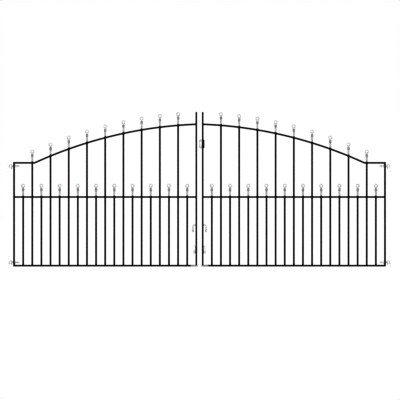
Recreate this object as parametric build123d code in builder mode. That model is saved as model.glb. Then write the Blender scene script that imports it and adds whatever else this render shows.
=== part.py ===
import os
from math import acos, cos, hypot, pi, sin, sqrt

from build123d import *

# A pair of steel driveway gates hung between two pillars, in millimetres.
# X runs along the gate, Y to the rear and Z up.
# The origin is on the back face of the left bottom hinge bracket.

# The leaves, with heights measured from the gate's bottom edge
leaf_width = 1806.0
leaf_gap = 48.0
hinge_side_height = 1025.0
meeting_side_height = 1517.0
middle_rail_height = 682.0
crown_drop = 120.0
shoulder_length = 202.0
arch_radius = 4205.0
bottom_hinge_height = 40.0
top_hinge_inset = 40.0

# Flat bar of the frame, and round infill bars in punched rails
frame_thick = 15.0
frame_depth = 40.0
bar_dia = 16.0
tall_count = 9
punch_clearance = 0.25
bar_stand = 5.0

# Bars, finials, drop bolts and hinges are round, and have few sides because they repeat
round_sides = 8
hinge_sides = 16
ball_bands = 5
ball_crown_angle_share = 0.9

# Ball finials
stem_length = 46.0
collar_dia = 24.0
collar_height = 28.0
neck_dia = 14.0
neck_length = 5.0
ball_dia = 40.0
collar_shoulder_share = 0.25

# Hinge brackets with upright pins
plate_width = 32.0
plate_height = 110.0
plate_thick = 6.0
plate_corner = 4.0
fixing_dia = 11.0
fixing_spacing = 80.0
pin_offset = 20.0
pin_dia = 16.0
pin_stand = 10.0
pin_chamfer = 2.0
lug_thick = 12.0
lug_wall = 5.0

# Adjustable eyebolts through the hinge stiles
running_clearance = 0.3
eye_wall = 6.0
eye_height = 24.0
hinge_reach = 34.0
shank_dia = 14.0
shank_reach = 53.0
shank_chamfer = 1.5

# Drop bolts behind the meeting stiles
rod_dia = 12.0
rod_clearance = 0.4
rod_foot_height = 3.0
rod_chamfer = 2.0
rod_bend_height = 391.0
crook_radius = 17.0
crook_drop = 30.0
knob_dia = 20.0
guide_wall = 2.0
guide_bite = 0.8
guide_plate_thick = 4.0
guide_plate_reach = 25.0
lower_guide_height = 127.0
lower_guide_length = 75.0
upper_guide_height = 240.0
upper_guide_length = 30.0
foot_guide_length = 48.0
foot_lug_wall = 6.0

# Latch on the rear of the right meeting stile
latch_width = 50.0
latch_height = 82.0
latch_corner = 12.0
latch_centre_height = 1204.0
latch_offset = 7.0
latch_plate_thick = 4.0
latch_cover_margin = 5.0
latch_cover_depth = 14.0
latch_cover_chamfer = 3.0

# Places along the left leaf
pin_x = plate_thick + pin_offset
stile_x = pin_x + hinge_reach
meeting_x = stile_x + leaf_width - frame_thick
stile_inner_x = stile_x + frame_thick / 2
stile_outer_x = stile_x - frame_thick / 2
meeting_inner_x = meeting_x - frame_thick / 2
meeting_edge_x = meeting_x + frame_thick / 2
opening_width = 2 * meeting_edge_x + leaf_gap
bar_pitch = (meeting_x - stile_x) / (2 * tall_count + 2)
tall_places = [stile_x + bar_pitch * 2 * n for n in range(1, tall_count + 1)]
short_places = [stile_x + bar_pitch * (2 * n + 1) for n in range(tall_count + 1)]

# Heights in the part's frame
ground_edge_z = -bottom_hinge_height
top_hinge_z = ground_edge_z + hinge_side_height - top_hinge_inset
hinge_heights = {"bottom": 0.0, "top": top_hinge_z}
level_z = ground_edge_z + hinge_side_height - frame_thick / 2
middle_z = ground_edge_z + middle_rail_height
crown_z = ground_edge_z + meeting_side_height - crown_drop
foot_top_z = ground_edge_z + frame_thick

# Centre of the arch, from its bend, its crown and its radius
bend_x = stile_x + shoulder_length
chord_run = meeting_x - bend_x
chord_rise = crown_z - level_z
chord = hypot(chord_run, chord_rise)
centre_drop = sqrt(arch_radius**2 - (chord / 2) ** 2)
centre_x = (bend_x + meeting_x) / 2 + centre_drop * chord_rise / chord
centre_z = (level_z + crown_z) / 2 - centre_drop * chord_run / chord

# Rod line of the drop bolts
tube_radius = rod_dia / 2 + rod_clearance + guide_wall
bolt_y = frame_depth / 2 + guide_plate_thick + tube_radius - guide_bite
bore_radius = rod_dia / 2 + rod_clearance


def arch_z(x, shift):
    """Height of the arch's curve at x, shifted outwards from its centreline."""
    return centre_z + sqrt((arch_radius + shift) ** 2 - (x - centre_x) ** 2)


def corner_x(shift):
    """Where the shifted level line meets the shifted arch."""
    rise = level_z + shift - centre_z
    return centre_x - sqrt((arch_radius + shift) ** 2 - rise**2)


def arch_top(x):
    """Height of the arched rail's upper face at x."""
    half = frame_thick / 2
    return level_z + half if x < corner_x(half) else arch_z(x, half)


def hinge_stile():
    with BuildPart() as stile:
        with BuildSketch(Plane.XY.offset(ground_edge_z)):
            with Locations((stile_x, 0)):
                Rectangle(frame_thick, frame_depth)
        extrude(amount=hinge_side_height - frame_thick)
        with BuildSketch(Plane.YZ.offset(stile_outer_x)):
            with Locations(*[(0, z) for z in hinge_heights.values()]):
                RegularPolygon(shank_dia / 2 + punch_clearance, hinge_sides)
        extrude(amount=frame_thick, mode=Mode.SUBTRACT)
    return stile.part


def meeting_stile():
    with BuildPart() as stile:
        with BuildSketch(Plane.XY.offset(foot_top_z)):
            with Locations((meeting_x, 0)):
                Rectangle(frame_thick, frame_depth)
        extrude(amount=meeting_side_height - frame_thick)
    return stile.part


def straight_rail(base_z, end_x):
    with BuildPart() as rail:
        with BuildSketch(Plane.XY.offset(base_z)):
            with Locations(((stile_inner_x + end_x) / 2, 0)):
                Rectangle(end_x - stile_inner_x, frame_depth)
        extrude(amount=frame_thick)
    return rail.part


def bottom_rail():
    return straight_rail(ground_edge_z, meeting_inner_x - foot_guide_length)


def bar_holes(places, z):
    """Outlines of the holes that are punched for bars, at height z."""
    with BuildSketch(Plane.XY.offset(z)) as holes:
        with Locations(*[(x, 0) for x in places]):
            RegularPolygon(bar_dia / 2 + punch_clearance, round_sides)
    return holes.sketch


def middle_rail():
    low_z = middle_z - frame_thick / 2
    with BuildPart() as rail:
        add(straight_rail(low_z, meeting_inner_x))
        holes = bar_holes(tall_places + short_places, low_z)
        extrude(holes, amount=frame_thick, mode=Mode.SUBTRACT)
    return rail.part


def arch_edge(shift):
    """Level stretch and arc of one edge of the arched rail, with its end points."""
    start = (stile_outer_x, level_z + shift)
    bend = (corner_x(shift), level_z + shift)
    end = (meeting_inner_x, arch_z(meeting_inner_x, shift))
    middle_x = (bend[0] + end[0]) / 2
    Line(start, bend)
    ThreePointArc(bend, (middle_x, arch_z(middle_x, shift)), end)
    return start, end


def arch_rail():
    half = frame_thick / 2
    with BuildPart() as rail:
        with BuildSketch(Plane.XZ):
            with BuildLine():
                lower_start, lower_end = arch_edge(-half)
                upper_start, upper_end = arch_edge(half)
                Line(lower_start, upper_start)
                Line(lower_end, upper_end)
            make_face()
        extrude(amount=frame_depth / 2, both=True)
        holes = bar_holes(tall_places, foot_top_z)
        extrude(holes, amount=meeting_side_height, mode=Mode.SUBTRACT)
    return rail.part


def bars(tops):
    with BuildPart() as row:
        for x, top in tops:
            with BuildSketch(Plane.XY.offset(foot_top_z)):
                with Locations((x, 0)):
                    RegularPolygon(bar_dia / 2, round_sides)
            extrude(amount=top - foot_top_z)
    return row.part


def ball_rings(radius, neck, foot_z):
    """Heights and radii of a ball that stands on a neck at foot_z."""
    foot_angle = -acos(neck / radius)
    centre = foot_z - radius * sin(foot_angle)
    step = (ball_crown_angle_share * pi / 2 - foot_angle) / ball_bands
    angles = [foot_angle + step * n for n in range(ball_bands + 1)]
    return [(centre + radius * sin(a), radius * cos(a)) for a in angles]


def turned(rings):
    """Upright turning through rings of given height and radius, with flat facets."""
    with BuildPart() as turning:
        for height, radius in rings:
            with BuildSketch(Plane.XY.offset(height)):
                RegularPolygon(radius, round_sides)
        loft(ruled=True)
    return Solid(Shell([Face(facet.outer_wire()) for facet in turning.faces()]))


def finials(seats):
    collar_top = stem_length + collar_height
    shoulder = collar_height * collar_shoulder_share
    rings = [
        (0, bar_dia / 2),
        (stem_length, bar_dia / 2),
        (stem_length + shoulder, collar_dia / 2),
        (collar_top - shoulder, collar_dia / 2),
        (collar_top, neck_dia / 2),
    ]
    rings += ball_rings(ball_dia / 2, neck_dia / 2, collar_top + neck_length)
    finial = turned(rings)
    with BuildPart() as row:
        with Locations(*[(x, 0, z) for x, z in seats]):
            add(finial)
    return row.part


def bracket(z):
    lug_top = z - eye_height / 2 - running_clearance
    lug_radius = pin_dia / 2 + lug_wall
    pin_top = z + eye_height / 2 + pin_stand
    with BuildPart() as hanger:
        with BuildSketch(Plane.YZ) as plate:
            with Locations((0, z)):
                Rectangle(plate_width, plate_height)
                chamfer(plate.vertices(), length=plate_corner)
                with GridLocations(0, fixing_spacing, 1, 2):
                    Circle(fixing_dia / 2, mode=Mode.SUBTRACT)
        extrude(amount=plate_thick)
        with BuildSketch(Plane.XY.offset(lug_top - lug_thick)):
            with Locations((pin_x, 0)):
                RegularPolygon(lug_radius, hinge_sides)
            with Locations((plate_thick, 0)):
                Rectangle(pin_offset, 2 * lug_radius, align=(Align.MIN, Align.CENTER))
        extrude(amount=lug_thick)
        with BuildSketch(Plane.XY.offset(lug_top)):
            with Locations((pin_x, 0)):
                RegularPolygon(pin_dia / 2, hinge_sides)
        extrude(amount=pin_top - lug_top)
        chamfer(hanger.edges().group_by(Axis.Z)[-1], length=pin_chamfer)
    return hanger.part


def eyebolt(z):
    bore = pin_dia / 2 + running_clearance
    with BuildPart() as bolt:
        with BuildSketch(Plane.YZ.offset(pin_x)):
            with Locations((0, z)):
                RegularPolygon(shank_dia / 2, hinge_sides)
        extrude(amount=hinge_reach + shank_reach)
        chamfer(bolt.edges().group_by(Axis.X)[-1], length=shank_chamfer)
        for radius, mode in ((bore + eye_wall, Mode.ADD), (bore, Mode.SUBTRACT)):
            with BuildSketch(Plane.XY.offset(z - eye_height / 2)):
                with Locations((pin_x, 0)):
                    RegularPolygon(radius, hinge_sides, major_radius=False)
            extrude(amount=eye_height, mode=mode)
    return bolt.part


def bolt_guide(height, length, reach):
    base_z = ground_edge_z + height
    with BuildPart() as guide:
        with BuildSketch(Plane.XY.offset(base_z)):
            with Locations((meeting_edge_x, frame_depth / 2)):
                Rectangle(frame_thick + reach, guide_plate_thick, align=(Align.MAX, Align.MIN))
            with Locations((meeting_x, bolt_y)):
                RegularPolygon(tube_radius, hinge_sides)
                RegularPolygon(bore_radius, hinge_sides, major_radius=False, mode=Mode.SUBTRACT)
        extrude(amount=length)
    return guide.part


def foot_guide():
    lug_radius = bore_radius + foot_lug_wall
    lug_width = frame_thick / 2 + lug_radius
    with BuildPart() as guide:
        with BuildSketch(Plane.XY.offset(ground_edge_z)):
            with Locations((meeting_edge_x, 0)):
                Rectangle(
                    frame_thick + foot_guide_length,
                    frame_depth,
                    align=(Align.MAX, Align.CENTER),
                )
            with Locations((meeting_edge_x, frame_depth / 2)):
                Rectangle(
                    frame_thick + lug_width,
                    bolt_y - frame_depth / 2,
                    align=(Align.MAX, Align.MIN),
                )
            with Locations((meeting_x, bolt_y)):
                RegularPolygon(lug_radius, hinge_sides)
                RegularPolygon(bore_radius, hinge_sides, major_radius=False, mode=Mode.SUBTRACT)
        extrude(amount=frame_thick)
    return guide.part


def drop_bolt():
    foot_z = ground_edge_z + rod_foot_height
    bend_z = ground_edge_z + rod_bend_height
    crook_x = meeting_x - 2 * crook_radius
    knob_z = bend_z - crook_drop
    knob = turned(ball_rings(knob_dia / 2, rod_dia / 2, 0))
    with BuildPart() as bolt:
        with BuildLine(Plane.XZ.offset(-bolt_y)) as rod_line:
            Line((meeting_x, foot_z), (meeting_x, bend_z))
            ThreePointArc(
                (meeting_x, bend_z),
                (meeting_x - crook_radius, bend_z + crook_radius),
                (crook_x, bend_z),
            )
            Line((crook_x, bend_z), (crook_x, knob_z))
        with BuildSketch(Plane.XY.offset(foot_z)):
            with Locations((meeting_x, bolt_y)):
                RegularPolygon(rod_dia / 2, round_sides)
        sweep(path=rod_line.line)
        chamfer(bolt.edges().group_by(Axis.Z)[0], length=rod_chamfer)
        with Locations((crook_x, bolt_y, knob_z)):
            add(knob, rotation=(180, 0, 0))
    return bolt.part


def latch_slab(margin, front_y, depth):
    """Rounded slab on the rear of the right meeting stile."""
    latch_x = opening_width - meeting_x - latch_offset
    with BuildPart() as slab:
        with BuildSketch(Plane.XZ.offset(-front_y)):
            with Locations((latch_x, ground_edge_z + latch_centre_height)):
                RectangleRounded(
                    latch_width - 2 * margin,
                    latch_height - 2 * margin,
                    latch_corner - margin,
                )
        extrude(amount=-depth)
    return slab.part


def latch_plate():
    return latch_slab(0, frame_depth / 2, latch_plate_thick)


def latch_cover():
    front_y = frame_depth / 2 + latch_plate_thick
    with BuildPart() as cover:
        add(latch_slab(latch_cover_margin, front_y, latch_cover_depth))
        chamfer(cover.edges().group_by(Axis.Y)[-1], length=latch_cover_chamfer)
    return cover.part


def other_hand(piece):
    """The same piece on the right leaf."""
    with BuildPart() as twin:
        mirror(piece, about=Plane.YZ.offset(opening_width / 2))
    return twin.part


def save(piece, name):
    piece.label = name
    export_step(piece, f"parts/{name}.step")


tall_tops = [(x, arch_top(x) + bar_stand) for x in tall_places]
short_tops = [(x, middle_z + frame_thick / 2 + bar_stand) for x in short_places]
pieces = {
    "hinge_stile": hinge_stile(),
    "meeting_stile": meeting_stile(),
    "bottom_rail": bottom_rail(),
    "middle_rail": middle_rail(),
    "arch_rail": arch_rail(),
    "tall_bars": bars(tall_tops),
    "short_bars": bars(short_tops),
    "tall_finials": finials(tall_tops),
    "short_finials": finials(short_tops),
    "lower_bolt_guide": bolt_guide(lower_guide_height, lower_guide_length, guide_plate_reach),
    "upper_bolt_guide": bolt_guide(upper_guide_height, upper_guide_length, 0),
    "foot_guide": foot_guide(),
    "drop_bolt": drop_bolt(),
}
for place, z in hinge_heights.items():
    pieces[f"{place}_eyebolt"] = eyebolt(z)
    pieces[f"{place}_bracket"] = bracket(z)

os.makedirs("parts", exist_ok=True)
for name, piece in pieces.items():
    save(piece, f"left_{name}")
    save(other_hand(piece), f"right_{name}")
save(latch_plate(), "right_latch_plate")
save(latch_cover(), "right_latch_cover")
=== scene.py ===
import math

import bmesh
import bpy
from mathutils import Matrix, Vector


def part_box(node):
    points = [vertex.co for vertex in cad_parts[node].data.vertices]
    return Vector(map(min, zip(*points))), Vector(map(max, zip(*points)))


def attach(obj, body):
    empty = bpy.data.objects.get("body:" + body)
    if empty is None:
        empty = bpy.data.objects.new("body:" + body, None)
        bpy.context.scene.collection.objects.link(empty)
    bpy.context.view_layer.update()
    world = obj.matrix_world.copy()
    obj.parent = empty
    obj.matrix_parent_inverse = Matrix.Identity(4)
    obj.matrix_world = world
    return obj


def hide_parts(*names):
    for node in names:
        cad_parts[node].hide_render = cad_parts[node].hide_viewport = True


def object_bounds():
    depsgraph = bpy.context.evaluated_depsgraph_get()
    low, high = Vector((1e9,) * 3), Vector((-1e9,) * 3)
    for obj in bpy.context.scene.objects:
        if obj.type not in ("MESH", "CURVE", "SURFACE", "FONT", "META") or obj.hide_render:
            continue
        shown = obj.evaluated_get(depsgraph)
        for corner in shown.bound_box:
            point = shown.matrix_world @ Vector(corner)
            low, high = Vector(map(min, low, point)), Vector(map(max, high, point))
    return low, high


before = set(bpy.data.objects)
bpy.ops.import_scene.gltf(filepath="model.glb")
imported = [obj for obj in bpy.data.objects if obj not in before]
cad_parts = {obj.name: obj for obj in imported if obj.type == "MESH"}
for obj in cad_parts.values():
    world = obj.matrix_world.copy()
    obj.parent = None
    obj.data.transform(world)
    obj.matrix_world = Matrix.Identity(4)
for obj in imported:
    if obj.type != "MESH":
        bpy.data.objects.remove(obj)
cadLow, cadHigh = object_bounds()
print("frame loaded,", len(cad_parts), "nodes")

# Places on the left leaf, in metres, read from the frame. The right leaf mirrors them about midX.
hingeLow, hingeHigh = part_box("left_hinge_stile")
meetLow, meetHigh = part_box("left_meeting_stile")
middleLow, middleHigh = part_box("left_middle_rail")
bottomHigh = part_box("left_bottom_rail")[1]
archLow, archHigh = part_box("left_arch_rail")
shortLow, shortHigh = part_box("left_short_bars")
midX = (cadLow.x + cadHigh.x) / 2
stileX = (hingeLow.x + hingeHigh.x) / 2
meetX = (meetLow.x + meetHigh.x) / 2
thick = hingeHigh.x - hingeLow.x
depth = hingeHigh.y - hingeLow.y
levelZ = archLow.z + thick / 2

# Merging gaps in metres, angles and counts that the pieces share
meshing = {
    "gap": 1e-6,
    "seamGap": 1e-5,
    "sharp": math.radians(40),
    "smooth": math.radians(38),
    "flat": math.radians(1),
    "fineFlat": math.radians(0.5),
    "easeSteps": 2,
    "roundSides": 48,
}
alongX = Matrix.Rotation(math.pi / 2, 4, "Y")
alongY = Matrix.Rotation(math.pi / 2, 4, "X")


# Selecting and editing by hand

def deselect():
    bpy.ops.object.select_all(action="DESELECT")


def choose(*objects):
    deselect()
    for item in objects:
        item.select_set(True)
    bpy.context.view_layer.objects.active = objects[0]


def copyOf(item):
    choose(item)
    bpy.ops.object.duplicate(linked=False)
    return bpy.context.object


def startEdit(mode="VERT"):
    bpy.ops.object.mode_set(mode="EDIT")
    bpy.ops.mesh.select_mode(type=mode)
    bpy.ops.mesh.select_all(action="SELECT")


def endEdit():
    bpy.ops.object.mode_set(mode="OBJECT")
    return bpy.context.object


def pickEdges(test):
    mesh = bmesh.from_edit_mesh(bpy.context.object.data)
    for edge in mesh.edges:
        edge.select_set(test(edge))
    bmesh.update_edit_mesh(bpy.context.object.data)


def pickVerts(test):
    mesh = bmesh.from_edit_mesh(bpy.context.object.data)
    for vert in mesh.verts:
        vert.select_set(test(vert))
    mesh.select_flush_mode()
    bmesh.update_edit_mesh(bpy.context.object.data)


def sharp(edge):
    return len(edge.link_faces) == 2 and edge.calc_face_angle() > meshing["sharp"]


def easeEdges(offset, steps=meshing["easeSteps"]):
    pickEdges(sharp)
    bpy.ops.mesh.bevel(offset=offset, offset_type="OFFSET", segments=steps, affect="EDGES")


def drawOut(step):
    bpy.ops.mesh.extrude_region_move(TRANSFORM_OT_translate={"value": step})


def tidyMesh(gap=meshing["gap"]):
    bpy.ops.mesh.select_all(action="SELECT")
    bpy.ops.mesh.remove_doubles(threshold=gap)
    bpy.ops.mesh.normals_make_consistent(inside=False)


def applyPlace(*objects):
    choose(*objects)
    bpy.ops.object.transform_apply(location=True, rotation=True, scale=True)


# A cube stretched between two corners, left in edit mode
def startBlock(low, high):
    deselect()
    low, high = Vector(low), Vector(high)
    bpy.ops.mesh.primitive_cube_add(size=1, location=(low + high) / 2)
    bpy.context.object.scale = high - low
    applyPlace(bpy.context.object)
    startEdit("EDGE")


# One vertex, left in edit mode
def startPoint(spot):
    deselect()
    bpy.ops.mesh.primitive_plane_add(size=1)
    startEdit()
    bpy.ops.mesh.merge(type="CENTER")
    bpy.ops.transform.translate(value=spot)


# One vertex, drawn out along points (radius, height) and spun about Z
def turn(points, steps, closed=False):
    spots = [Vector((radius, 0, height)) for radius, height in points]
    startPoint(spots[0])
    for last, spot in zip(spots, spots[1:] + spots[:closed]):
        drawOut(spot - last)
    bpy.ops.mesh.select_all(action="SELECT")
    bpy.ops.mesh.spin(steps=steps, angle=math.tau, center=(0, 0, 0), axis=(0, 0, 1))
    tidyMesh(meshing["seamGap"])
    return endEdit()


# Profile of a disc or ring with its outer edges eased
def easedRim(inner, outer, tall, ease):
    rim = [(inner, 0), (outer - ease, 0), (outer, ease)]
    return rim + [(radius, tall - height) for radius, height in reversed(rim)]


# A tube with all its edges eased
def turnTube(low, high, bore, outer, ease, sides):
    rim = [(bore, low + ease), (bore + ease, low), (outer - ease, low), (outer, low + ease)]
    rim += [(radius, low + high - height) for radius, height in reversed(rim)]
    return turn(rim, sides, True)


# A rod with a chamfered top
def turnRod(low, high, full, tip, sides):
    return turn([(0, low), (full, low), (full, high - tip), (full - tip, high), (0, high)], sides)


def joinAll(*objects):
    choose(*objects)
    bpy.ops.object.join()
    return bpy.context.object


# Copies of a master at given matrices, joined into one mesh, and the master deleted
def copyRow(master, places):
    made = []
    for place in places:
        copy = copyOf(master)
        copy.matrix_world = place
        made.append(copy)
    applyPlace(*made)
    bpy.data.objects.remove(master)
    return joinAll(*made)


# Cuts one piece with another, which is then deleted
def cutAway(piece, cutter):
    choose(piece)
    cut = piece.modifiers.new("cut", "BOOLEAN")
    cut.operation = "DIFFERENCE"
    cut.object = cutter
    bpy.ops.object.modifier_apply(modifier="cut")
    bpy.data.objects.remove(cutter)
    return piece


def at(x, y, z):
    return Matrix.Translation((x, y, z))


def otherHand(piece):
    twin = copyOf(piece)
    twin.matrix_world = at(2 * midX, 0, 0) @ Matrix.Scale(-1, 4, (1, 0, 0))
    applyPlace(twin)
    startEdit()
    tidyMesh()
    return endEdit()


# Gives a finished piece its name, finish and body
def dress(piece, name, body, slot, finish, *nodes):
    piece.name = name
    piece.data.name = name
    if not piece.data.materials:
        piece.data.materials.append(finish)
    choose(piece)
    bpy.ops.object.shade_smooth_by_angle(angle=meshing["smooth"])
    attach(piece, body)
    if nodes:
        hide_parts(*nodes)


# A left piece and its mirror image on the right
def dressPair(piece, label, bodyLabel, slot, finish, *labels):
    for side, made in (("left", piece), ("right", otherHand(piece))):
        nodes = [f"{side}_{item}" for item in labels]
        body = bodyLabel.replace("side", side)
        dress(made, side + label, body, slot, finish, *nodes)


# Shader sums: a wrapped socket that adds its own nodes
class Wire:
    def __init__(self, tree, socket):
        self.tree = tree
        self.socket = socket

    def node(self, kind, settings=None, sockets=None, out=0):
        made = self.tree.nodes.new(kind)
        for name, value in (settings or {}).items():
            setattr(made, name, value)
        for name, value in (sockets or {}).items():
            if isinstance(value, Wire):
                self.tree.links.new(value.socket, made.inputs[name])
            else:
                made.inputs[name].default_value = value
        return Wire(self.tree, made.outputs[out])

    def maths(self, operation, first, second):
        return self.node("ShaderNodeMath", {"operation": operation}, {0: first, 1: second})

    def __add__(self, other):
        return self.maths("ADD", self, other)

    def __radd__(self, other):
        return self.maths("ADD", other, self)

    def __sub__(self, other):
        return self.maths("SUBTRACT", self, other)

    def __rsub__(self, other):
        return self.maths("SUBTRACT", other, self)

    def __mul__(self, other):
        return self.maths("MULTIPLY", self, other)

    def __rmul__(self, other):
        return self.maths("MULTIPLY", other, self)

    def rise(self, low, high):
        span = {"From Min": low, "From Max": high, "Value": self}
        return self.node("ShaderNodeMapRange", {"interpolation_type": "SMOOTHSTEP"}, span)

    def blend(self, first, second):
        return self.node("ShaderNodeMix", {"data_type": "RGBA"}, {0: self, 6: first, 7: second}, 2)

    def noise(self, scale, detail, stretch=None):
        spot = self
        if stretch:
            spot = self.node("ShaderNodeMapping", None, {"Vector": self, "Scale": stretch})
        return self.node("ShaderNodeTexNoise", None, {"Vector": spot, "Scale": scale, "Detail": detail})


# A new material: returns it, its object coordinates and a function that fills its shader
def startFinish(name, constants):
    made = bpy.data.materials.new(name)
    made.use_nodes = True
    tree = made.node_tree
    shader = tree.nodes["Principled BSDF"]
    for socket, value in constants.items():
        shader.inputs[socket].default_value = value
    place = Wire(tree, tree.nodes.new("ShaderNodeTexCoord").outputs["Object"])

    def fill(colour, rough, height, relief):
        bump = place.node("ShaderNodeBump", None, {"Height": height, "Distance": relief})
        for wire, socket in ((colour, "Base Color"), (rough, "Roughness"), (bump, "Normal")):
            tree.links.new(wire.socket, shader.inputs[socket])

    return made, place, fill


def facingUp(place):
    normal = place.node("ShaderNodeNewGeometry", None, None, "Normal")
    return place.node("ShaderNodeSeparateXYZ", None, {"Vector": normal}, "Z")


# Satin black powder coat: orange peel, uneven gloss, a little dust on ledges, small chips.
# A noise is its scale and detail, a range is where its mask rises.
coat = {
    "black": (0.006, 0.0062, 0.0068, 1),
    "faded": (0.013, 0.0132, 0.014, 1),
    "dust": (0.09, 0.086, 0.08, 1),
    "chip": (0.06, 0.057, 0.055, 1),
    "shader": {"Specular IOR Level": 0.3},
    "peelNoise": (620, 2.0),
    "driftNoise": (7, 4.0),
    "driftRange": (0.3, 0.7),
    "chipNoise": (95, 5.0),
    "chipRange": (0.735, 0.775),
    "dustNoise": (38, 5.0),
    "dustRange": (0.35, 0.75),
    "dustCover": 0.5,
    "ledgeRange": (0.55, 0.95),
    "rough": 0.52,
    "driftRough": 0.14,
    "dustRough": 0.2,
    "chipRough": 0.15,
    "chipDepth": 0.8,
    "relief": 0.00006,
}


def makeBlackCoat():
    finish, place, fill = startFinish("blackPowderCoat", coat["shader"])
    peel = place.noise(*coat["peelNoise"])
    drift = place.noise(*coat["driftNoise"])
    chip = place.noise(*coat["chipNoise"]).rise(*coat["chipRange"])
    ledge = facingUp(place).rise(*coat["ledgeRange"])
    dust = ledge * place.noise(*coat["dustNoise"]).rise(*coat["dustRange"])
    colour = drift.rise(*coat["driftRange"]).blend(coat["black"], coat["faded"])
    colour = (dust * coat["dustCover"]).blend(colour, coat["dust"])
    colour = chip.blend(colour, coat["chip"])
    rough = coat["rough"] + drift * coat["driftRough"]
    rough = rough + dust * coat["dustRough"] + chip * coat["chipRough"]
    fill(colour, rough, peel - chip * coat["chipDepth"], coat["relief"])
    return finish


# Silver of the finials: turned lines round each one, and a dull film in patches. The collar and stem
# take the same silver painted darker than the ball, as painted shade.
silver = {
    "ball": ((0.865, 0.872, 0.88, 1), (0.785, 0.793, 0.803, 1)),
    # collar and stem tones: the ball's silver darkened, as painted shade of the beaded collar and of
    # the stem under it
    "collar": ((0.48, 0.485, 0.495, 1), (0.39, 0.394, 0.402, 1)),
    "stem": ((0.61, 0.615, 0.625, 1), (0.50, 0.504, 0.512, 1)),
    "shader": {"Metallic": 0.25, "Specular IOR Level": 0.5},
    "lines": {"Scale": 330, "Distortion": 0.6, "Detail": 1.0},
    "lineDepth": 0.6,
    "filmNoise": (60, 4.0),
    "filmRange": (0.35, 0.7),
    "grainNoise": (900, 2.0),
    "grainDepth": 0.4,
    "rough": 0.30,
    "filmRough": 0.18,
    "grainRough": 0.06,
    "relief": 0.00006,
}


def makeSilver(name, bright, dull):
    finish, place, fill = startFinish(name, silver["shader"])
    wave = {"Vector": place, **silver["lines"]}
    lines = place.node("ShaderNodeTexWave", {"bands_direction": "Z"}, wave, "Fac")
    film = place.noise(*silver["filmNoise"])
    grain = place.noise(*silver["grainNoise"])
    colour = film.rise(*silver["filmRange"]).blend(bright, dull)
    rough = silver["rough"] + film * silver["filmRough"] + grain * silver["grainRough"]
    height = lines * silver["lineDepth"] + grain * silver["grainDepth"]
    fill(colour, rough, height, silver["relief"])
    return finish


# Zinc plating of hinges, bolts and latch: soft spangle, rubbed patches and fine scratches.
# Each set of colours is pale, clouded and rubbed.
zinc = {
    "plate": ((0.90, 0.905, 0.91, 1), (0.73, 0.735, 0.745, 1), (0.53, 0.535, 0.55, 1)),
    "foot": ((0.335, 0.339, 0.345, 1), (0.26, 0.263, 0.27, 1), (0.18, 0.182, 0.19, 1)),
    "shader": {"Metallic": 0.25, "Specular IOR Level": 0.5},
    "spangleScale": 210,
    "spangleTint": 0.45,
    "cloudNoise": (34, 4.0),
    "cloudTint": 0.5,
    "tintRange": (0.1, 0.9),
    "scratchNoise": (140, 3.0, (1, 1, 14)),
    "scratchRange": (0.62, 0.7),
    "scratchCover": 0.5,
    "rough": 0.28,
    "spangleRough": 0.1,
    "cloudRough": 0.16,
    "level": 0.5,
    "spangleRise": 0.3,
    "scratchDepth": -0.5,
    "relief": 0.00005,
}


def makeZinc(name, pale, cloudy, rubbed):
    finish, place, fill = startFinish(name, zinc["shader"])
    cells = {"Vector": place, "Scale": zinc["spangleScale"]}
    shade = place.node("ShaderNodeTexVoronoi", None, cells, "Color")
    spangle = place.node("ShaderNodeSeparateColor", None, {"Color": shade}, "Red")
    cloud = place.noise(*zinc["cloudNoise"])
    scratch = place.noise(*zinc["scratchNoise"]).rise(*zinc["scratchRange"])
    tint = (spangle * zinc["spangleTint"] + cloud * zinc["cloudTint"]).rise(*zinc["tintRange"])
    colour = tint.blend(pale, cloudy)
    colour = (scratch * zinc["scratchCover"]).blend(colour, rubbed)
    rough = zinc["rough"] + spangle * zinc["spangleRough"] + cloud * zinc["cloudRough"]
    height = spangle * zinc["spangleRise"] + scratch * zinc["scratchDepth"] + zinc["level"]
    fill(colour, rough, height, zinc["relief"])
    return finish


blackCoat = makeBlackCoat()
ballSilver = makeSilver("ballSilver", *silver["ball"])
# darker copies of the ball's silver, as painted shade on the collar and stem
collarSilverPaintedShade = makeSilver("collarSilverPaintedShade", *silver["collar"])
stemSilverPaintedShade = makeSilver("stemSilverPaintedShade", *silver["stem"])
zincPlate = makeZinc("zincPlate", *zinc["plate"])
footSteel = makeZinc("footSteel", *zinc["foot"])
print("finishes made")


# Stiles and rails: flat bar with eased edges
flatBar = {"ease": 0.0015, "steps": 3}


def makeFlatBar(node, label):
    startBlock(*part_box("left_" + node))
    easeEdges(flatBar["ease"], flatBar["steps"])
    dressPair(endEdit(), label, "side_leaf", "black_coat", blackCoat, node)


makeFlatBar("hinge_stile", "HingeStile")
makeFlatBar("meeting_stile", "MeetingStile")
makeFlatBar("bottom_rail", "BottomRail")
makeFlatBar("middle_rail", "MiddleRail")
print("stiles and straight rails made")


# Arched top rail: a level stretch, a sharp bend and one long arc
arch = {
    "radius": 4.205,
    "shoulder": 0.202,
    "crownDrop": 0.120,
    "steps": 56,
    "lead": 0.012,
    "seamShare": 0.05,
}
crownZ = meetHigh.z - arch["crownDrop"]
bendX = stileX + arch["shoulder"]
chord = Vector((meetX - bendX, crownZ - levelZ))
centreDrop = math.sqrt(arch["radius"] ** 2 - chord.length_squared / 4)
centreX = (bendX + meetX) / 2 + centreDrop * chord.y / chord.length
centreZ = (levelZ + crownZ) / 2 - centreDrop * chord.x / chord.length


# Angle of the rail's slope at x, and its height there, out from the centreline by shift
def archSlope(x):
    return math.asin((centreX - x) / arch["radius"]) if x > bendX else 0.0


def archZ(x, shift):
    if x < bendX:
        return levelZ + shift
    return centreZ + math.sqrt((arch["radius"] + shift) ** 2 - (x - centreX) ** 2)


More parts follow.
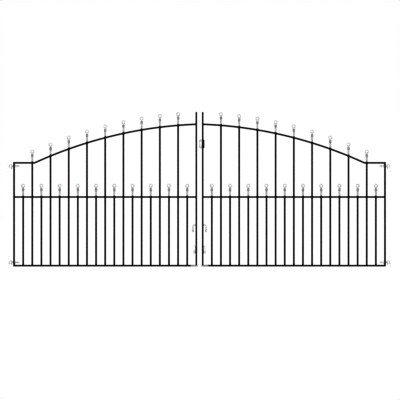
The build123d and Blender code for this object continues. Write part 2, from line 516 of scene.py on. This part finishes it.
def makeArchRail():
    bend = archSlope(bendX + meshing["gap"])
    mitre = (math.cos(bend / 2), 0, math.sin(bend / 2))
    cut = {"plane_co": (bendX, 0, levelZ), "plane_no": mitre}
    startBlock(archLow, (bendX + thick, archHigh.y, archLow.z + thick))
    bpy.ops.mesh.bisect(clear_outer=True, **cut)
    level = endEdit()
    # the arc starts a little before the bend, as a small face, and is spun round its centre
    start = bend + arch["lead"]
    end = archSlope(archHigh.x)
    deselect()
    bpy.ops.mesh.primitive_plane_add(size=1)
    face = bpy.context.object
    face.matrix_world = (
        at(centreX, 0, centreZ)
        @ Matrix.Rotation(-start, 4, "Y")
        @ at(0, 0, arch["radius"])
        @ alongX
        @ Matrix.Diagonal((thick, depth, 1, 1))
    )
    applyPlace(face)
    startEdit()
    middle = (centreX, 0, centreZ)
    bpy.ops.mesh.spin(steps=arch["steps"], angle=end - start, center=middle, axis=(0, 1, 0))
    bpy.ops.mesh.select_all(action="SELECT")
    bpy.ops.mesh.bisect(clear_inner=True, **cut)
    joinAll(endEdit(), level)
    startEdit("EDGE")
    tidyMesh(arch["seamShare"] * thick)
    easeEdges(flatBar["ease"], flatBar["steps"])
    dressPair(endEdit(), "ArchRail", "side_leaf", "black_coat", blackCoat, "arch_rail")


makeArchRail()
print("arched rail made")


# Round bars: a short one is turned, and each copy is stretched to its own top
bar = {"radius": 0.008, "sides": 28, "ease": 0.0008, "tall": 9, "stand": 0.005}
pitch = (meetX - stileX) / (2 * bar["tall"] + 2)
tallXs = [stileX + pitch * 2 * n for n in range(1, bar["tall"] + 1)]
shortXs = [stileX + pitch * (2 * n + 1) for n in range(bar["tall"] + 1)]
tallTops = [(x, archZ(x, thick / 2) + bar["stand"]) for x in tallXs]
shortTops = [(x, shortHigh.z) for x in shortXs]


def makeBars(tops, node, label):
    blank = thick
    master = turn(easedRim(0, bar["radius"], blank, bar["ease"]), bar["sides"])
    row = []
    for x, top in tops:
        copyOf(master)
        startEdit()
        pickVerts(lambda vert: vert.co.z > blank / 2)
        bpy.ops.transform.translate(value=(0, 0, top - shortLow.z - blank))
        made = endEdit()
        made.matrix_world = at(x, 0, shortLow.z)
        row.append(made)
    bpy.data.objects.remove(master)
    applyPlace(*row)
    dressPair(joinAll(*row), label, "side_leaf", "black_coat", blackCoat, node)


makeBars(tallTops, "tall_bars", "TallBars")
makeBars(shortTops, "short_bars", "ShortBars")
print("bars made")


# Ball finials, turned in one piece: stem, beaded collar, neck and ball.
# A bead is its reach, start and height as shares of the collar, the middle one widest.
finial = {
    "stem": 0.046,
    "flare": (0.0006, 0.0016),
    "collar": 0.012,
    "collarHeight": 0.028,
    "beads": ((0.75, 0.0, 0.2), (1.0, 0.2, 0.6), (0.75, 0.8, 0.2)),
    "beadRoot": 0.25,
    "beadSteps": 6,
    "beadRound": 0.6,
    "beadLead": 0.02,
    "beadSpan": 6.1,
    "neck": 0.007,
    "neckHeight": 0.005,
    "neckFlare": 0.0012,
    "waist": 0.0006,
    "waistShare": 0.4,
    "ball": 0.020,
    "ballSteps": 22,
    "sides": 36,
}
collarLow = finial["stem"]
collarHigh = collarLow + finial["collarHeight"]


def arcPoints(radius, middle, first, last, steps):
    angles = [first + (last - first) * n / steps for n in range(steps + 1)]
    return [(radius * math.cos(a), middle + radius * math.sin(a)) for a in angles]


def beadPoints(reach, start, tall):
    stem, steps = bar["radius"], finial["beadSteps"]
    wider = finial["collar"] - stem
    root = stem + wider * finial["beadRoot"]
    swell = stem + wider * reach - root
    points = []
    for n in range(steps + 1):
        share = math.sin(math.pi * n / steps) ** finial["beadRound"] if 0 < n < steps else 0.0
        lift = tall * (n + finial["beadLead"]) / finial["beadSpan"]
        points.append((root + swell * share, collarLow + finial["collarHeight"] * (start + lift)))
    return points


def finialProfile():
    stem, neck, rise = bar["radius"], finial["neck"], finial["neckHeight"]
    band = finial["collarHeight"] * finial["beads"][0][2]
    flare, lip = finial["flare"]
    points = [(0, 0), (stem, 0), (stem, collarLow - band)]
    points += [(stem + flare, collarLow - band / 2), (stem + lip, collarLow)]
    for bead in finial["beads"]:
        points += beadPoints(*bead)
    points.append((neck + finial["neckFlare"], collarHigh))
    points.append((neck - finial["waist"], collarHigh + rise * finial["waistShare"]))
    foot = -math.acos(neck / finial["ball"])
    centre = collarHigh + rise - finial["ball"] * math.sin(foot)
    return points + arcPoints(finial["ball"], centre, foot, math.pi / 2, finial["ballSteps"])


def makeFinials(tops, node, label):
    master = turn(finialProfile(), finial["sides"])
    for finish in (ballSilver, collarSilverPaintedShade, stemSilverPaintedShade):
        master.data.materials.append(finish)
    # faces of the collar and of the stem below it get the painted-shade silvers, darker than the ball
    for face in master.data.polygons:
        face.material_index = int(face.center.z < collarHigh) + int(face.center.z < collarLow)
    row = copyRow(master, [at(x, 0, top) for x, top in tops])
    dressPair(row, label, "side_leaf", "silver_finial", ballSilver, node)


makeFinials(tallTops, "tall_finials", "TallFinials")
makeFinials(shortTops, "short_finials", "ShortFinials")
print("finials made")


# Weld beads: rings round the bars, and short runs across the rail ends.
# The ring's shape is in shares of its leg, out from the bar and up from the rail.
weld = {
    "leg": 0.0035,
    "bite": 0.0005,
    "ring": ((1.0, -0.15), (0.93, 0.3), (0.6, 0.72), (0.28, 0.96)),
    "ringTop": 1.1,
    "ringFoot": -0.15,
    "sides": 20,
    "ripple": 0.0006,
    "beadRadius": 0.003,
    "beadSteps": 22,
    "beadSides": 10,
    "beadDip": 0.22,
    "beadShare": 0.94,
}


def makeWeldRing():
    full, leg = bar["radius"], weld["leg"]
    rim = [(full + leg * out, leg * up) for out, up in weld["ring"]]
    rim += [(full - weld["bite"], leg * up) for up in (weld["ringTop"], weld["ringFoot"])]
    choose(turn(rim, weld["sides"], True))
    spoke = math.tau / weld["sides"]

    def outerEven(vert):
        even = round(math.atan2(vert.co.y, vert.co.x) / spoke) % 2 == 0
        return even and vert.co.xy.length > full

    # every other spoke is pushed in, which leaves the ripples of the bead
    startEdit()
    pickVerts(outerEven)
    bpy.ops.transform.shrink_fatten(value=-weld["ripple"])
    return endEdit()


def makeWeldBead(length):
    steps, full = weld["beadSteps"], weld["beadRadius"]
    points = [(0, -length / 2)]
    for n in range(1, steps):
        dip = weld["beadDip"] if n % 2 == 0 else 0.0
        points.append((full * (1.0 - dip), length * (n / steps - 0.5)))
    points.append((0, length / 2))
    return turn(points, weld["beadSides"])


def tilted(x, z, slope, flip):
    stretch = Matrix.Scale(1 / math.cos(slope), 4, (1, 0, 0))
    over = Matrix.Rotation(math.pi if flip else 0.0, 4, "X")
    return at(x, 0, z) @ Matrix.Rotation(-slope, 4, "Y") @ over @ stretch


def makeWelds():
    places = []
    for x in tallXs + shortXs:
        places.append(tilted(x, bottomHigh.z, 0.0, False))
        places.append(tilted(x, middleLow.z, 0.0, True))
        places.append(tilted(x, middleHigh.z, 0.0, False))
    for x in tallXs:
        places.append(tilted(x, archZ(x, thick / 2), archSlope(x), False))
        places.append(tilted(x, archZ(x, -thick / 2), archSlope(x), True))
    rings = copyRow(makeWeldRing(), places)
    corners = [(hingeHigh.x, z) for z in (archLow.z, middleHigh.z, middleLow.z, bottomHigh.z)]
    crowns = (archZ(meetLow.x, thick / 2), archZ(meetLow.x, -thick / 2))
    corners += [(meetLow.x, z) for z in (*crowns, middleHigh.z, middleLow.z, bottomHigh.z)]
    corners.append((bottomHigh.x, bottomHigh.z))
    master = makeWeldBead(depth * weld["beadShare"])
    beads = copyRow(master, [at(x, 0, z) @ alongY for x, z in corners])
    dressPair(joinAll(rings, beads), "Welds", "side_leaf", "black_coat", blackCoat)


makeWelds()
print("welds made")


# Eyebolts: an eased eye on a threaded shank, with nuts and washers either side of the stile.
# The thread's steps are shares of its crest outwards and of its pitch along the shank.
hinge = {
    "lug": 0.013,
    "eye": 0.0143,
    "bore": 0.0083,
    "eyeHeight": 0.024,
    "eyeSides": 56,
    "ease": 0.0012,
    "shank": 0.007,
    "root": 0.0061,
    "pitch": 0.002,
    "start": 0.012,
    "thread": ((1, 0.4), (0, 0.15), (-1, 0.4), (0, 0.05)),
    "threadSides": 20,
    "coreStand": 0.0001,
    "tip": 0.0015,
    "nutAcross": 0.022,
    "nutThick": 0.008,
    "nutChamfer": 0.0012,
    "nutInset": 0.0018,
    "nutEase": 0.0004,
    "washer": 0.0135,
    "washerThick": 0.002,
    "washerBite": 0.0002,
    "washerEase": 0.0004,
    "washerSides": 40,
}


def makeEye(x, z):
    half = hinge["eyeHeight"] / 2
    eye = turnTube(-half, half, hinge["bore"], hinge["eye"], hinge["ease"], hinge["eyeSides"])
    eye.matrix_world = at(x, 0, z)
    return eye


def makeThread(turns):
    crest = hinge["shank"] - hinge["root"]
    startPoint((hinge["root"], 0, hinge["start"]))
    for out, up in hinge["thread"]:
        drawOut((crest * out, 0, hinge["pitch"] * up))
    thread = endEdit()
    coil = thread.modifiers.new("coil", "SCREW")
    coil.screw_offset = hinge["pitch"]
    coil.iterations = turns
    coil.steps = hinge["threadSides"]
    coil.render_steps = hinge["threadSides"]
    coil.use_merge_vertices = True
    bpy.ops.object.modifier_apply(modifier="coil")
    # both ends are closed with a fan of faces
    startEdit()
    tidyMesh(meshing["seamGap"])
    bpy.ops.mesh.fill_holes(sides=0)
    bpy.ops.mesh.select_face_by_sides(number=4, type="GREATER", extend=False)
    bpy.ops.mesh.poke()
    tidyMesh()
    return endEdit()


def makeShank(x, z, length):
    thread = makeThread(round((length - hinge["start"]) / hinge["pitch"]) - 1)
    # the core starts inside the wall of the eye, clear of its bore
    core = hinge["root"] + hinge["coreStand"]
    seat = (hinge["bore"] + hinge["start"]) / 2
    rod = turnRod(seat, length, core, hinge["tip"], hinge["threadSides"])
    shank = joinAll(rod, thread)
    shank.matrix_world = at(x, 0, z) @ alongX
    return shank


def makeNut(x, z, tall):
    deselect()
    corner = hinge["nutAcross"] / 2 / math.cos(math.pi / 6)
    bpy.ops.mesh.primitive_circle_add(vertices=6, radius=corner, fill_type="NGON")
    startEdit("FACE")
    drawOut((0, 0, tall - hinge["nutChamfer"]))
    bpy.ops.mesh.inset(thickness=hinge["nutInset"], depth=hinge["nutChamfer"])
    tidyMesh()
    bpy.ops.mesh.select_mode(type="EDGE")
    easeEdges(hinge["nutEase"])
    nut = endEdit()
    nut.matrix_world = at(x, 0, z) @ alongX
    return nut


def makeWasher(x, z):
    inner = hinge["shank"] - hinge["washerBite"]
    rim = easedRim(inner, hinge["washer"], hinge["washerThick"], hinge["washerEase"])
    washer = turn(rim, hinge["washerSides"], True)
    washer.matrix_world = at(x, 0, z) @ alongX
    return washer


def makeEyebolt(place, label):
    low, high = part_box(f"left_{place}_eyebolt")
    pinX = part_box(f"left_{place}_bracket")[1].x - hinge["lug"]
    z = (low.z + high.z) / 2
    pieces = [makeEye(pinX, z), makeShank(pinX, z, high.x - pinX)]
    applyPlace(*pieces)
    eyebolt = joinAll(*pieces)
    dressPair(eyebolt, label + "Eyebolt", "side_leaf", "zinc_plate", zincPlate, f"{place}_eyebolt")
    flat, tall = hinge["washerThick"], hinge["nutThick"]
    fixings = [makeWasher(hingeLow.x - flat, z), makeWasher(hingeHigh.x, z)]
    fixings += [makeNut(hingeHigh.x + flat, z, tall), makeNut(hingeLow.x - flat - tall, z, tall)]
    applyPlace(*fixings)
    dressPair(joinAll(*fixings), label + "HingeNuts", "side_leaf", "zinc_plate", zincPlate)


makeEyebolt("bottom", "Bottom")
makeEyebolt("top", "Top")
print("hinge eyes made")


# Drop bolts: a rod drawn up from its foot, spun over the crook and down to a long knob
bolt = {
    "rod": 0.006,
    "chamfer": 0.002,
    "sides": 28,
    "crook": 0.017,
    "crookSteps": 24,
    "drop": 0.030,
    "knob": 0.010,
    "knobSteps": 16,
    "knobStretch": 1.6,
}


def makeDropBolt():
    low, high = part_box("left_drop_bolt")
    bendZ = high.z - bolt["crook"] - bolt["rod"]
    y = (low.y + high.y) / 2
    deselect()
    foot = {"radius": bolt["rod"] - bolt["chamfer"], "location": (meetX, y, low.z)}
    bpy.ops.mesh.primitive_circle_add(vertices=bolt["sides"], fill_type="NGON", **foot)
    applyPlace(bpy.context.object)
    startEdit("FACE")
    drawOut((0, 0, bolt["chamfer"]))
    wider = bolt["rod"] / (bolt["rod"] - bolt["chamfer"])
    middle = (meetX, y, low.z + bolt["chamfer"])
    bpy.ops.transform.resize(value=(wider, wider, 1), center_override=middle)
    drawOut((0, 0, bendZ - low.z - bolt["chamfer"]))
    crown = (meetX - bolt["crook"], y, bendZ)
    bpy.ops.mesh.spin(steps=bolt["crookSteps"], angle=math.pi, center=crown, axis=(0, 1, 0))
    drawOut((0, 0, -bolt["drop"]))
    tidyMesh(meshing["seamGap"])
    rod = endEdit()
    neck = math.acos(bolt["rod"] / bolt["knob"])
    ball = arcPoints(bolt["knob"], 0, -math.pi / 2, neck, bolt["knobSteps"])
    neckZ = ball[-1][1]
    knob = turn([*ball, (0, neckZ)], bolt["sides"])
    longer = Matrix.Scale(bolt["knobStretch"], 4, (0, 0, 1))
    knob.matrix_world = at(meetX - 2 * bolt["crook"], y, bendZ - bolt["drop"] - neckZ) @ longer
    applyPlace(knob)
    dressPair(joinAll(rod, knob), "DropBolt", "side_bolt", "zinc_plate", zincPlate, "drop_bolt")


makeDropBolt()
print("drop bolts made")


# A merged copy of a fixed part, in edit mode
def startCopy(node):
    copy = copyOf(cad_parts[node])
    for key in list(copy.keys()):
        del copy[key]
    copy.parent = None
    copy.data.materials.clear()
    startEdit("EDGE")
    tidyMesh(meshing["seamGap"])
    bpy.ops.mesh.dissolve_limited(angle_limit=meshing["flat"])


# A disc drawn out to a flat seat on one side, and raised to a lug
def makeLug(centre, radius, seat, tall, ease):
    deselect()
    disc = {"vertices": meshing["roundSides"], "radius": radius, "location": centre}
    bpy.ops.mesh.primitive_circle_add(fill_type="NGON", **disc)
    applyPlace(bpy.context.object)
    startEdit()
    reach = Vector(seat) - Vector(centre)
    squeeze = [0 if abs(part) > radius / 2 else 1 for part in reach]
    pickVerts(lambda vert: (vert.co - Vector(centre)).dot(reach) > meshing["gap"])
    bpy.ops.transform.resize(value=squeeze, center_override=seat)
    bpy.ops.mesh.select_all(action="SELECT")
    drawOut((0, 0, tall))
    tidyMesh()
    bpy.ops.mesh.dissolve_limited(angle_limit=meshing["fineFlat"])
    easeEdges(ease)
    return endEdit()


# Hinge brackets: a drilled plate with cropped corners, a welded lug and an upright pin
bracket = {
    "plate": 0.006,
    "lug": hinge["lug"],
    "lugThick": 0.012,
    "gap": 0.0003,
    "pin": 0.008,
    "pinStand": 0.010,
    "tip": 0.002,
    "ease": 0.0009,
    "shave": 0.0001,
}


def makeBracket(place, label):
    low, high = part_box(f"left_{place}_bracket")
    eyeLow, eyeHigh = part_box(f"left_{place}_eyebolt")
    face = low.x + bracket["plate"]
    pinX = high.x - bracket["lug"]
    # the plate is the part's own, cut free of its lug just behind the front face
    startCopy(f"left_{place}_bracket")
    bpy.ops.mesh.select_all(action="SELECT")
    plane = {"plane_co": (face - bracket["shave"], 0, 0), "plane_no": (1, 0, 0)}
    bpy.ops.mesh.bisect(clear_outer=True, use_fill=True, threshold=meshing["gap"], **plane)
    tidyMesh()
    pickVerts(lambda vert: vert.co.x > face - 2 * bracket["shave"])
    bpy.ops.transform.translate(value=(bracket["shave"], 0, 0))
    bpy.ops.mesh.select_mode(type="EDGE")
    easeEdges(bracket["ease"])
    plate = endEdit()
    tall = bracket["lugThick"]
    lugTop = eyeLow.z - bracket["gap"]
    foot = lugTop - tall
    lug = makeLug((pinX, 0, foot), bracket["lug"], (face, 0, foot), tall, bracket["ease"])
    top = eyeHigh.z + bracket["pinStand"]
    pin = turnRod(lugTop, top, bracket["pin"], bracket["tip"], meshing["roundSides"])
    pin.matrix_world = at(pinX, 0, 0)
    seams = [at(face, 0, z) @ alongY for z in (foot, lugTop)]
    beads = copyRow(makeWeldBead(2 * bracket["lug"]), seams)
    applyPlace(pin)
    made = joinAll(plate, lug, pin, beads)
    dressPair(made, label + "Bracket", "hinge_brackets", "zinc_plate", zincPlate, f"{place}_bracket")


makeBracket("bottom", "Bottom")
makeBracket("top", "Top")
print("hinge brackets made")


# Guides of the drop bolts: a tube welded to a plate, and a lug behind the foot of the stile
guide = {
    "tube": 0.0084,
    "bore": 0.0064,
    "plate": 0.004,
    "reach": {"lower": 0.025, "upper": 0.0},
    "ease": 0.0007,
    "seamShare": 0.62,
    "beadShare": 0.9,
    "footLug": 0.0124,
    "gusset": 0.015,
    "gussetDepth": 0.002,
}


def makeGuide(place, label):
    low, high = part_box(f"left_{place}_bolt_guide")
    rear = low.y + guide["plate"]
    tall = high.z - low.z
    startBlock((meetLow.x - guide["reach"][place], low.y, low.z), (meetHigh.x, rear, high.z))
    easeEdges(guide["ease"])
    plate = endEdit()
    tube = turnTube(0, tall, guide["bore"], guide["tube"], guide["ease"], meshing["roundSides"])
    tube.matrix_world = at(meetX, high.y - guide["tube"], low.z)
    applyPlace(tube)
    half = guide["tube"] * guide["seamShare"]
    middle = (low.z + high.z) / 2
    seams = [at(meetX - half, rear, middle), at(meetX + half, rear, middle)]
    beads = copyRow(makeWeldBead(tall * guide["beadShare"]), seams)
    made = joinAll(plate, tube, beads)
    dressPair(made, label, "side_leaf", "zinc_plate", zincPlate, f"{place}_bolt_guide")


def makeFootGuide():
    low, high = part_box("left_foot_guide")
    axisY = high.y - guide["footLug"]
    tall = high.z - low.z
    startBlock((low.x, meetLow.y, low.z), (meetHigh.x, meetHigh.y, high.z))
    easeEdges(flatBar["ease"], flatBar["steps"])
    plate = endEdit()
    seat = (meetX, meetHigh.y, low.z)
    lug = makeLug((meetX, axisY, low.z), guide["footLug"], seat, tall, guide["ease"])
    # the seat is drawn out to a gusset on the side of the rail
    startEdit()
    rear = meetHigh.y + guide["gussetDepth"]
    pickVerts(lambda vert: vert.co.y < rear and vert.co.x < meetX)
    bpy.ops.transform.translate(value=(-guide["gusset"], 0, 0))
    endEdit()
    deselect()
    hole = {"radius": guide["bore"], "depth": 2 * tall, "location": (meetX, axisY, low.z + tall / 2)}
    bpy.ops.mesh.primitive_cylinder_add(vertices=meshing["roundSides"], **hole)
    made = joinAll(plate, cutAway(lug, bpy.context.object))
    dressPair(made, "FootGuide", "side_leaf", "zinc_plate", footSteel, "foot_guide")


makeGuide("lower", "LowerBoltGuide")
makeGuide("upper", "UpperBoltGuide")
makeFootGuide()
print("bolt guides made")


# Latch: plate and cover with eased edges, a black rim as painted shade round the plate's edge, a strap
# on the stile and slotted screws.
# The screw's dome is in shares of its radius and height.
latch = {
    "ease": 0.0008,
    "corner": 0.012,
    "cornerSteps": 8,
    "rim": 0.0013,
    "rimSteps": 3,
    "strap": (0.006, 0.012),
    "screw": 0.0042,
    "screwHigh": 0.0022,
    "screwSides": 28,
    "dome": ((0, 0), (1, 0), (1, 0.3), (0.86, 0.72), (0.5, 0.96), (0, 1)),
    "slot": 0.0011,
    "inset": (0.011, 0.012),
    "firstTwist": 0.4,
    "nextTwist": 0.9,
}


def makeLatchPart(node, name):
    startCopy(node)
    easeEdges(latch["ease"])
    dress(endEdit(), name, "right_leaf", "zinc_plate", zincPlate, node)


# A thin black ring round the latch plate: a dark piece standing for the shade at the plate's edge,
# painted shade
def makeLatchShadeRim():
    low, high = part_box("right_latch_plate")
    deselect()
    bpy.ops.mesh.primitive_plane_add(size=1)
    loop = bpy.context.object
    stretch = Matrix.Diagonal((high.x - low.x, high.z - low.z, 1, 1))
    loop.matrix_world = at(*((low + high) / 2)) @ alongY @ stretch
    applyPlace(loop)
    startEdit()
    bpy.ops.mesh.bevel(offset=latch["corner"], segments=latch["cornerSteps"], affect="VERTICES")
    bpy.ops.mesh.delete(type="ONLY_FACE")
    endEdit()
    bpy.ops.object.convert(target="CURVE")
    loop.data.bevel_depth = latch["rim"]
    loop.data.bevel_resolution = latch["rimSteps"]
    bpy.ops.object.convert(target="MESH")
    startEdit()
    tidyMesh()
    return endEdit()


def makeLatchStrapAndShadeRim():
    low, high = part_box("right_latch_plate")
    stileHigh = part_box("right_meeting_stile")[1]
    wide, deep = latch["strap"]
    startBlock((stileHigh.x, low.y - deep, low.z), (stileHigh.x + wide, low.y, high.z))
    easeEdges(latch["ease"])
    strap = endEdit()
    # the black rim joined here is painted shade at the plate's edge
    dress(joinAll(makeLatchShadeRim(), strap), "latchStrapAndShadeRim", "right_leaf", "black_coat", blackCoat)


def makeLatchScrews():
    low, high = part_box("right_latch_cover")
    wide, tall = latch["screw"], latch["screwHigh"]
    head = turn([(wide * out, tall * up) for out, up in latch["dome"]], latch["screwSides"])
    deselect()
    bpy.ops.mesh.primitive_cube_add(size=1, location=(0, 0, tall))
    bpy.context.object.scale = (3 * wide, latch["slot"], tall)
    head = cutAway(head, bpy.context.object)
    across, up = latch["inset"]
    spots = [(x, z) for z in (low.z + up, high.z - up) for x in (low.x + across, high.x - across)]
    rearward = Matrix.Rotation(-math.pi / 2, 4, "X")
    places = []
    for n, (x, z) in enumerate(spots):
        twist = Matrix.Rotation(latch["firstTwist"] + latch["nextTwist"] * n, 4, "Z")
        places.append(at(x, high.y, z) @ rearward @ twist)
    dress(copyRow(head, places), "latchScrews", "right_leaf", "zinc_plate", zincPlate)


makeLatchPart("right_latch_plate", "latchPlate")
makeLatchPart("right_latch_cover", "latchCover")
makeLatchStrapAndShadeRim()
makeLatchScrews()
print("latch made")


# Camera, square on to the gate, with a long lens
camera = {"x": 1.8872, "z": 0.6127, "width": 3.931, "lens": 400, "sensor": 36, "clip": 4}


def makeCamera():
    data = bpy.data.cameras.new("viewCamera")
    data.lens = camera["lens"]
    data.sensor_width = camera["sensor"]
    away = camera["width"] * camera["lens"] / camera["sensor"]
    data.clip_end = camera["clip"] * away
    item = bpy.data.objects.new("viewCamera", data)
    item.location = (camera["x"], -away, camera["z"])
    item.rotation_euler = (math.pi / 2, 0, 0)
    bpy.context.scene.collection.objects.link(item)
    bpy.context.scene.camera = item


# Pale floor and soft studio light: two large boxes in front, two behind, and an even fill.
# A box is its place across and away, and its power.
studio = {
    "floorZ": -0.16,
    "floorSize": 400,
    "floorShader": {
        "Base Color": (0.02, 0.02, 0.02, 1),
        "Roughness": 0.9,
        "Specular IOR Level": 0,
        "Emission Strength": 1,
    },
    "floorWhite": 0.988,
    "skyWhite": 1.0,
    "fill": 0.80,
    "boxSize": (3, 2.4),
    "boxes": ((-1.8, -9.0, 150), (1.8, -9.0, 150), (-3.9, 8.3, 80), (3.9, 8.3, 80)),
    "boxHigh": 1.0,
    "viewGamma": 0.4545,
}


# White to the eye, while what lights the gate is the even fill
def glowWhite(tree, white, socket):
    seen = Wire(tree, tree.nodes.new("ShaderNodeLightPath").outputs["Is Camera Ray"])
    glow = studio["fill"] + seen * (white - studio["fill"])
    tree.links.new(glow.socket, socket)


def makeFloor():
    deselect()
    spot = (midX, 0, studio["floorZ"])
    bpy.ops.mesh.primitive_plane_add(size=studio["floorSize"], location=spot)
    floor = bpy.context.object
    floor.name = "floor"
    pale = bpy.data.materials.new("paleFloor")
    pale.use_nodes = True
    shader = pale.node_tree.nodes["Principled BSDF"]
    for socket, value in studio["floorShader"].items():
        shader.inputs[socket].default_value = value
    glowWhite(pale.node_tree, studio["floorWhite"], shader.inputs["Emission Color"])
    floor.data.materials.append(pale)


def makeLights():
    for n, (across, away, power) in enumerate(studio["boxes"]):
        data = bpy.data.lights.new(f"softBox{n}", "AREA")
        data.shape = "RECTANGLE"
        data.size, data.size_y = studio["boxSize"]
        data.energy = power
        item = bpy.data.objects.new(f"softBox{n}", data)
        item.location = (midX + across, away, studio["boxHigh"])
        aim = Vector((midX, 0, camera["z"])) - item.location
        item.rotation_euler = aim.to_track_quat("-Z", "Y").to_euler()
        bpy.context.scene.collection.objects.link(item)
    world = bpy.data.worlds.new("studio")
    world.use_nodes = True
    back = world.node_tree.nodes["Background"]
    back.inputs["Strength"].default_value = 1
    glowWhite(world.node_tree, studio["skyWhite"], back.inputs["Color"])
    bpy.context.scene.world = world


makeCamera()
makeFloor()
makeLights()
bpy.context.scene.view_settings.view_transform = "Standard"
bpy.context.scene.view_settings.gamma = studio["viewGamma"]
print("camera and studio made")
